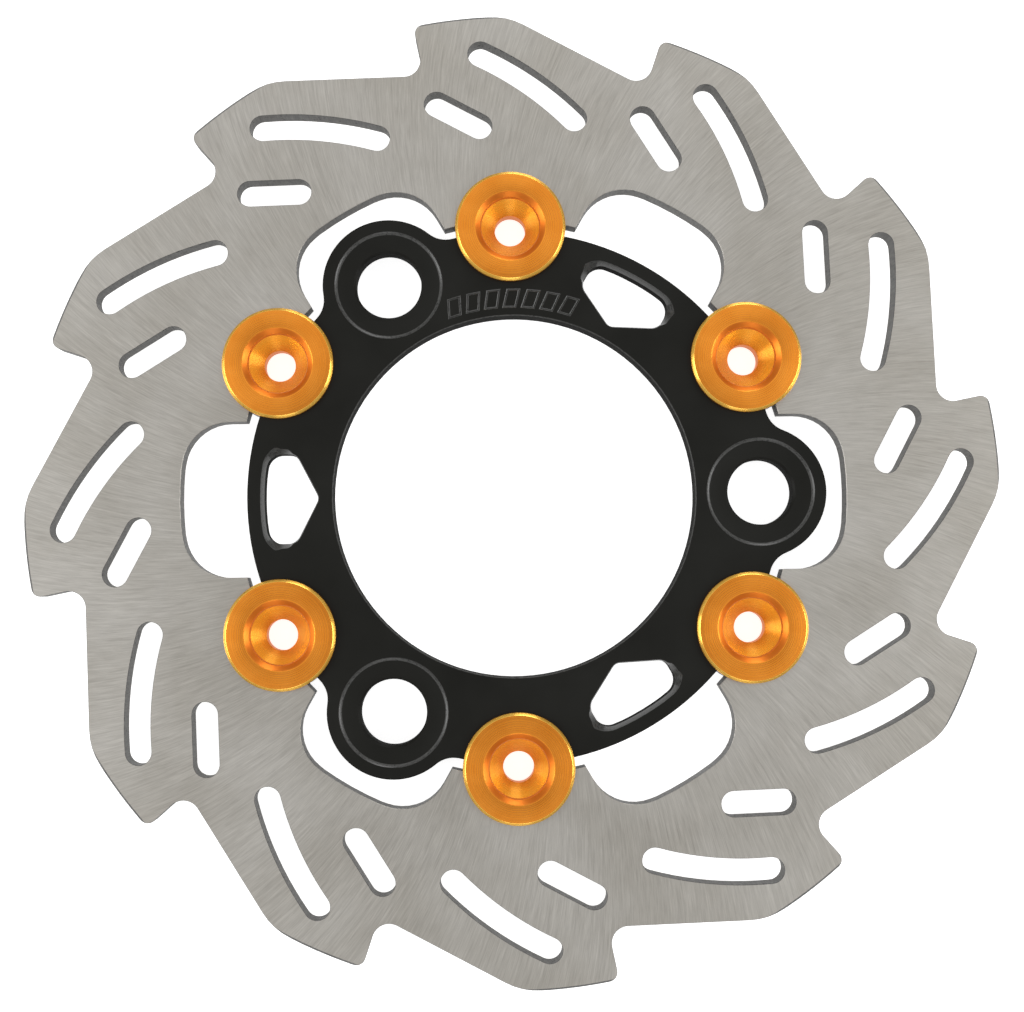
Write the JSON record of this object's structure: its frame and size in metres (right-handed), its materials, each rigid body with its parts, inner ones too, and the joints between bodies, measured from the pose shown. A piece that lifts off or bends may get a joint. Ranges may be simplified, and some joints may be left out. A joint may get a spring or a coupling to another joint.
{
  "type": "floating brake disc rotor",
  "caption": "Flat floating brake disc: a toothed, slotted steel braking ring held on a black alloy carrier by round orange buttons, with a large centre bore and bolt ears.",
  "frame": {"origin": "on the disc axis, in the plane of the carrier's rear face, at the centre of the mounting hole circle", "axes": "+Z along the disc axis towards the button heads; +X through the centre of one mounting hole"},
  "size_m": [0.2198, 0.2198, 0.012],
  "materials": {
    "ground_steel": "finely ground stainless braking steel",
    "black_anodised": "satin black anodised",
    "orange_anodised": "turned and orange anodised",
    "plated_steel": "zinc plated",
    "spring_steel": "dark phosphated spring steel"
  },
  "bodies": {
    "carrier": {"inner_carrier": "black_anodised"},
    "rotor": {"outer_rotor": "ground_steel"},
    "button_1": {"button_1": "orange_anodised", "flat_washer_1": "plated_steel", "wave_washer_1": "spring_steel", "retaining_ring_1": "spring_steel"},
    "button_2": {"button_2": "orange_anodised", "flat_washer_2": "plated_steel", "wave_washer_2": "spring_steel", "retaining_ring_2": "spring_steel"},
    "button_3": {"button_3": "orange_anodised", "flat_washer_3": "plated_steel", "wave_washer_3": "spring_steel", "retaining_ring_3": "spring_steel"},
    "button_4": {"button_4": "orange_anodised", "flat_washer_4": "plated_steel", "wave_washer_4": "spring_steel", "retaining_ring_4": "spring_steel"},
    "button_5": {"button_5": "orange_anodised", "flat_washer_5": "plated_steel", "wave_washer_5": "spring_steel", "retaining_ring_5": "spring_steel"},
    "button_6": {"button_6": "orange_anodised", "flat_washer_6": "plated_steel", "wave_washer_6": "spring_steel", "retaining_ring_6": "spring_steel"}
  },
  "joints": [
    {"name": "rotor_float", "type": "slide", "parent": "carrier", "child": "rotor", "axis": [0, 0, 1], "range_m": [-0.00025, 0.00025]},
    {"name": "button_1_turn", "type": "hinge", "parent": "carrier", "child": "button_1", "pos_m": [0.05283, 0.0305, 0], "axis": [0, 0, 1], "continuous": true},
    {"name": "button_2_turn", "type": "hinge", "parent": "carrier", "child": "button_2", "pos_m": [0, 0.061, 0], "axis": [0, 0, 1], "continuous": true},
    {"name": "button_3_turn", "type": "hinge", "parent": "carrier", "child": "button_3", "pos_m": [-0.05283, 0.0305, 0], "axis": [0, 0, 1], "continuous": true},
    {"name": "button_4_turn", "type": "hinge", "parent": "carrier", "child": "button_4", "pos_m": [-0.05283, -0.0305, 0], "axis": [0, 0, 1], "continuous": true},
    {"name": "button_5_turn", "type": "hinge", "parent": "carrier", "child": "button_5", "pos_m": [0, -0.061, 0], "axis": [0, 0, 1], "continuous": true},
    {"name": "button_6_turn", "type": "hinge", "parent": "carrier", "child": "button_6", "pos_m": [0.05283, -0.0305, 0], "axis": [0, 0, 1], "continuous": true}
  ]
}
